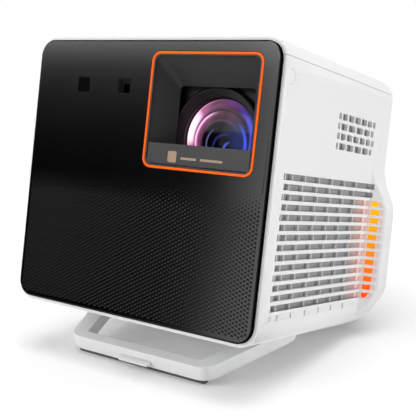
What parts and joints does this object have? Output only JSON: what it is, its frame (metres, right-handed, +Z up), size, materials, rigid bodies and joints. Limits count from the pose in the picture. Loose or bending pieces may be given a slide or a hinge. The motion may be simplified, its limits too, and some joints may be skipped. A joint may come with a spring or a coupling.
{
  "type": "home projector",
  "caption": "Compact leaning cube-shaped home projector on a fold-out kickstand, with a recessed lens bay, side air grilles and glowing side light bars.",
  "frame": {"origin": "under the middle of the overall box, on the surface that the projector stands on", "axes": "+Z up, the front panel faces -Y and leans back, +X is to the right as seen from the front"},
  "size_m": [0.243, 0.2474, 0.2379],
  "materials": {
    "white_shell": "fine satin texture",
    "stand_grey": "fine satin texture",
    "gloss_black": "gloss",
    "satin_black": "satin",
    "dark_plastic": "matt, fine grain",
    "screen_grey": "matt woven mesh",
    "orange_trim": "satin anodised look",
    "light_diffuser": "translucent, lit from behind",
    "lens_glass": "coated, purple reflections",
    "rubber": "matt",
    "steel": "plated",
    "aluminium": "milled",
    "copper": "bare copper",
    "circuit_board": "solder mask"
  },
  "bodies": {
    "housing": {"top_cover": "white_shell", "left_side_cover": "white_shell", "right_side_cover": "white_shell", "bottom_cover": "white_shell", "left_side_cap": "white_shell", "right_side_cap": "white_shell", "front_panel": "gloss_black", "sensor_window": "gloss_black", "camera_recess": "satin_black", "lens_barrel": "satin_black", "dc_inlet": "satin_black", "audio_socket": "satin_black", "lens_bay": "dark_plastic", "lens_bay_strip": "dark_plastic", "rear_cover": "dark_plastic", "left_fan_frame": "dark_plastic", "right_fan_frame": "dark_plastic", "left_speaker": "dark_plastic", "right_speaker": "dark_plastic", "left_vent_screen": "screen_grey", "right_vent_screen": "screen_grey", "lens_bay_ring": "orange_trim", "left_light_bar": "light_diffuser", "right_light_bar": "light_diffuser", "front_glass": "lens_glass", "rear_lens": "lens_glass", "camera_lens": "lens_glass", "left_rear_foot": "rubber", "right_rear_foot": "rubber", "left_hinge_bracket": "steel", "right_hinge_bracket": "steel", "left_hinge_pin": "steel", "right_hinge_pin": "steel", "tripod_insert": "steel", "focus_motor": "steel", "usb_c_socket": "steel", "usb_a_socket": "steel", "hdmi_socket_1": "steel", "hdmi_socket_2": "steel", "rear_screw_1": "steel", "rear_screw_2": "steel", "light_engine": "aluminium", "heat_sink": "aluminium", "heat_pipe": "copper", "port_board": "circuit_board", "main_board": "circuit_board", "keypad_board": "circuit_board"},
    "stand": {"stand_frame": "stand_grey", "stand_foot_bar": "rubber", "stand_pull_tab": "white_shell"},
    "left_fan": {"left_fan_rotor": "dark_plastic"},
    "right_fan": {"right_fan_rotor": "dark_plastic"},
    "focus_ring": {"focus_ring": "satin_black"},
    "focus_pinion": {"focus_pinion": "steel"},
    "focus_group": {"focus_lens": "lens_glass"},
    "volume_down_button": {"volume_down_button": "stand_grey"},
    "source_button": {"source_button": "stand_grey"},
    "power_button": {"power_button": "stand_grey"},
    "mode_button": {"mode_button": "stand_grey"},
    "volume_up_button": {"volume_up_button": "stand_grey"}
  },
  "joints": [
    {"name": "stand_tilt", "type": "hinge", "parent": "housing", "child": "stand", "pos_m": [0, -0.01985, 0.02388], "axis": [1, 0, 0], "range_deg": [-20.2, 8]},
    {"name": "left_fan_spin", "type": "hinge", "parent": "housing", "child": "left_fan", "pos_m": [-0.0915, -0.0264, 0.08974], "axis": [1, 0, 0], "continuous": true},
    {"name": "right_fan_spin", "type": "hinge", "parent": "housing", "child": "right_fan", "pos_m": [0.0915, -0.0264, 0.08974], "axis": [1, 0, 0], "continuous": true},
    {"name": "focus_ring_turn", "type": "hinge", "parent": "housing", "child": "focus_ring", "pos_m": [0.048, -0.04589, 0.1624], "axis": [0, 0.9816, -0.1908], "range_deg": [-36, 36]},
    {"name": "focus_pinion_turn", "type": "hinge", "parent": "housing", "child": "focus_pinion", "pos_m": [0.00778, -0.03945, 0.19552], "axis": [0, 0.9816, -0.1908], "range_deg": [-145, 145]},
    {"name": "focus_slide", "type": "slide", "parent": "housing", "child": "focus_group", "axis": [0, 0.9816, -0.1908], "range_m": [-0.00098, 0.00098]},
    {"name": "volume_down_press", "type": "slide", "parent": "housing", "child": "volume_down_button", "axis": [0, -0.1908, -0.9816], "range_m": [0, 0.0008], "stiffness_N_per_m": 1500, "springref_m": -0.0003},
    {"name": "source_press", "type": "slide", "parent": "housing", "child": "source_button", "axis": [0, -0.1908, -0.9816], "range_m": [0, 0.0008], "stiffness_N_per_m": 1500, "springref_m": -0.0003},
    {"name": "power_press", "type": "slide", "parent": "housing", "child": "power_button", "axis": [0, -0.1908, -0.9816], "range_m": [0, 0.0008], "stiffness_N_per_m": 1500, "springref_m": -0.0003},
    {"name": "mode_press", "type": "slide", "parent": "housing", "child": "mode_button", "axis": [0, -0.1908, -0.9816], "range_m": [0, 0.0008], "stiffness_N_per_m": 1500, "springref_m": -0.0003},
    {"name": "volume_up_press", "type": "slide", "parent": "housing", "child": "volume_up_button", "axis": [0, -0.1908, -0.9816], "range_m": [0, 0.0008], "stiffness_N_per_m": 1500, "springref_m": -0.0003}
  ],
  "couplings": [
    {"joint": "focus_ring_turn", "follows": "focus_slide", "rad_per_m": 625},
    {"joint": "focus_pinion_turn", "follows": "focus_slide", "rad_per_m": -2500}
  ]
}
